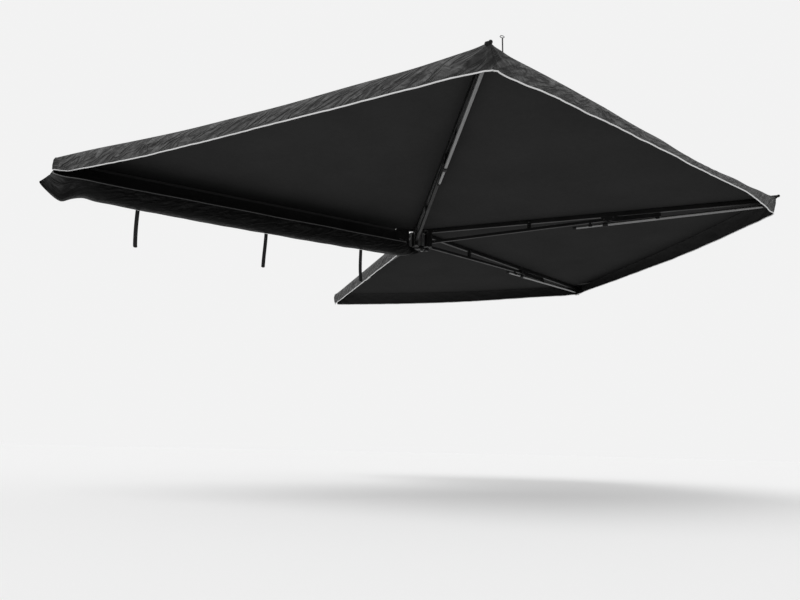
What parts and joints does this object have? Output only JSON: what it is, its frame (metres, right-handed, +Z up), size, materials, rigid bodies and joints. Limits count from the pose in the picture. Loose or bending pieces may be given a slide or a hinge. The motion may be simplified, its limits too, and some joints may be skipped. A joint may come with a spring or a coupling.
{
  "type": "vehicle side awning",
  "caption": "Free-standing fan awning for a vehicle's side: hinged arms swing from one hub and carry a sagging canopy, fold-down telescopic legs and an open travel bag.",
  "frame": {"origin": "middle of the rear mounting bracket's foot, on its underside", "axes": "+X along the vehicle from the canopy's front corner to the hub, -Y away from the vehicle, +Z up"},
  "size_m": [5.1356, 4.8412, 0.6427],
  "materials": {
    "black_coat": "satin black powder coat",
    "black_aluminium": "satin black powder coat on extruded aluminium",
    "bare_aluminium": "drawn tube, clear anodised",
    "zinc_steel": "zinc plated",
    "nylon": "moulded black nylon, fine texture",
    "rubber": "moulded black rubber",
    "canvas": "coated dark grey canvas",
    "bag_cloth": "heavy coated black cloth",
    "webbing": "woven black webbing"
  },
  "bodies": {
    "vehicle_side": {"backing_channel": "black_aluminium", "channel_end_cap": "nylon", "rear_mounting_bracket": "black_coat", "middle_mounting_bracket": "black_coat", "front_mounting_bracket": "black_coat", "hub_bracket": "black_coat", "hub_pin": "zinc_steel", "hub_pin_nut": "zinc_steel", "hub_sleeve": "zinc_steel", "apex_patch": "canvas", "travel_bag": "bag_cloth", "closure_strap_1": "webbing", "closure_strap_2": "webbing", "closure_strap_3": "webbing"},
    "arm_1": {"arm_1_root_bracket": "black_coat", "arm_1_rafter": "black_aluminium", "arm_1_strut": "black_aluminium", "arm_1_strut_bracket": "black_aluminium", "arm_1_tip_fitting": "nylon", "ring_pin": "zinc_steel", "canopy_gore_1": "canvas", "edge_valance_1": "canvas"},
    "leg_1": {"leg_1_tube": "bare_aluminium", "leg_1_lock_collar": "nylon"},
    "leg_1_inner": {"leg_1_inner_tube": "bare_aluminium", "leg_1_foot": "rubber"},
    "arm_2": {"arm_2_root_bracket": "black_coat", "arm_2_rafter": "black_aluminium", "arm_2_strut": "black_aluminium", "arm_2_strut_bracket": "black_aluminium", "arm_2_tip_fitting": "nylon", "canopy_gore_2": "canvas", "edge_valance_2": "canvas"},
    "leg_2": {"leg_2_tube": "bare_aluminium", "leg_2_lock_collar": "nylon"},
    "leg_2_inner": {"leg_2_inner_tube": "bare_aluminium", "leg_2_foot": "rubber"},
    "arm_3": {"arm_3_root_bracket": "black_coat", "arm_3_rafter": "black_aluminium", "arm_3_strut": "black_aluminium", "arm_3_strut_bracket": "black_aluminium", "arm_3_tip_fitting": "nylon", "canopy_gore_3": "canvas", "edge_valance_3": "canvas"},
    "leg_3": {"leg_3_tube": "bare_aluminium", "leg_3_lock_collar": "nylon"},
    "leg_3_inner": {"leg_3_inner_tube": "bare_aluminium", "leg_3_foot": "rubber"},
    "arm_4": {"arm_4_root_bracket": "black_coat", "arm_4_rafter": "black_aluminium", "arm_4_strut": "black_aluminium", "arm_4_strut_bracket": "black_aluminium", "arm_4_tip_fitting": "nylon", "canopy_gore_4": "canvas", "edge_valance_4": "canvas", "trailing_valance": "canvas"},
    "leg_4": {"leg_4_tube": "bare_aluminium", "leg_4_lock_collar": "nylon"},
    "leg_4_inner": {"leg_4_inner_tube": "bare_aluminium", "leg_4_foot": "rubber"}
  },
  "joints": [
    {"name": "arm_4_swing", "type": "hinge", "parent": "vehicle_side", "child": "arm_4", "pos_m": [0.45, -0.148, 0.07], "axis": [0, 0, -1], "range_deg": [0, 260.76], "deforming": ["canopy_gore_4", "edge_valance_4", "trailing_valance", "travel_bag"]},
    {"name": "arm_1_swing", "type": "hinge", "parent": "vehicle_side", "child": "arm_1", "pos_m": [0.45, -0.148, 0.07], "axis": [0, 0, -1], "range_deg": [0, 66.75], "deforming": ["canopy_gore_1", "edge_valance_1"]},
    {"name": "arm_2_swing", "type": "hinge", "parent": "vehicle_side", "child": "arm_2", "pos_m": [0.45, -0.148, 0.07], "axis": [0, 0, -1], "range_deg": [0, 131.42], "deforming": ["canopy_gore_2", "edge_valance_2"]},
    {"name": "arm_3_swing", "type": "hinge", "parent": "vehicle_side", "child": "arm_3", "pos_m": [0.45, -0.148, 0.07], "axis": [0, 0, -1], "range_deg": [0, 196.1], "deforming": ["canopy_gore_3", "edge_valance_3"]},
    {"name": "leg_1_fold", "type": "hinge", "parent": "arm_1", "child": "leg_1", "pos_m": [-0.56919, -2.3821, 0.015], "axis": [-0.9187, 0.3949, 0], "range_deg": [0, 88.2]},
    {"name": "leg_1_slide", "type": "slide", "parent": "leg_1", "child": "leg_1_inner", "axis": [0.3947, 0.9183, -0.0314], "range_m": [0, 0.8]},
    {"name": "leg_2_fold", "type": "hinge", "parent": "arm_2", "child": "leg_2", "pos_m": [2.06042, -2.00107, 0.015], "axis": [-0.75, -0.6615, 0], "range_deg": [0, 88.2]},
    {"name": "leg_2_slide", "type": "slide", "parent": "leg_2", "child": "leg_2_inner", "axis": [-0.6611, 0.7496, -0.0314], "range_m": [0, 0.8]},
    {"name": "leg_3_fold", "type": "hinge", "parent": "arm_3", "child": "leg_3", "pos_m": [2.80387, 0.54959, 0.015], "axis": [0.2771, -0.9608, 0], "range_deg": [0, 88.2]},
    {"name": "leg_3_slide", "type": "slide", "parent": "leg_3", "child": "leg_3_inner", "axis": [-0.9604, -0.277, -0.0314], "range_m": [0, 0.8]},
    {"name": "leg_4_fold", "type": "hinge", "parent": "arm_4", "child": "leg_4", "pos_m": [0.7908, 2.28383, 0.015], "axis": [0.987, -0.1605, 0], "range_deg": [0, 88.2]},
    {"name": "leg_4_slide", "type": "slide", "parent": "leg_4", "child": "leg_4_inner", "axis": [-0.1605, -0.9865, -0.0314], "range_m": [0, 0.8]}
  ],
  "couplings": [
    {"joint": "arm_1_swing", "follows": "arm_4_swing", "ratio": 0.25593},
    {"joint": "arm_2_swing", "follows": "arm_4_swing", "ratio": 0.50396},
    {"joint": "arm_3_swing", "follows": "arm_4_swing", "ratio": 0.75198}
  ]
}
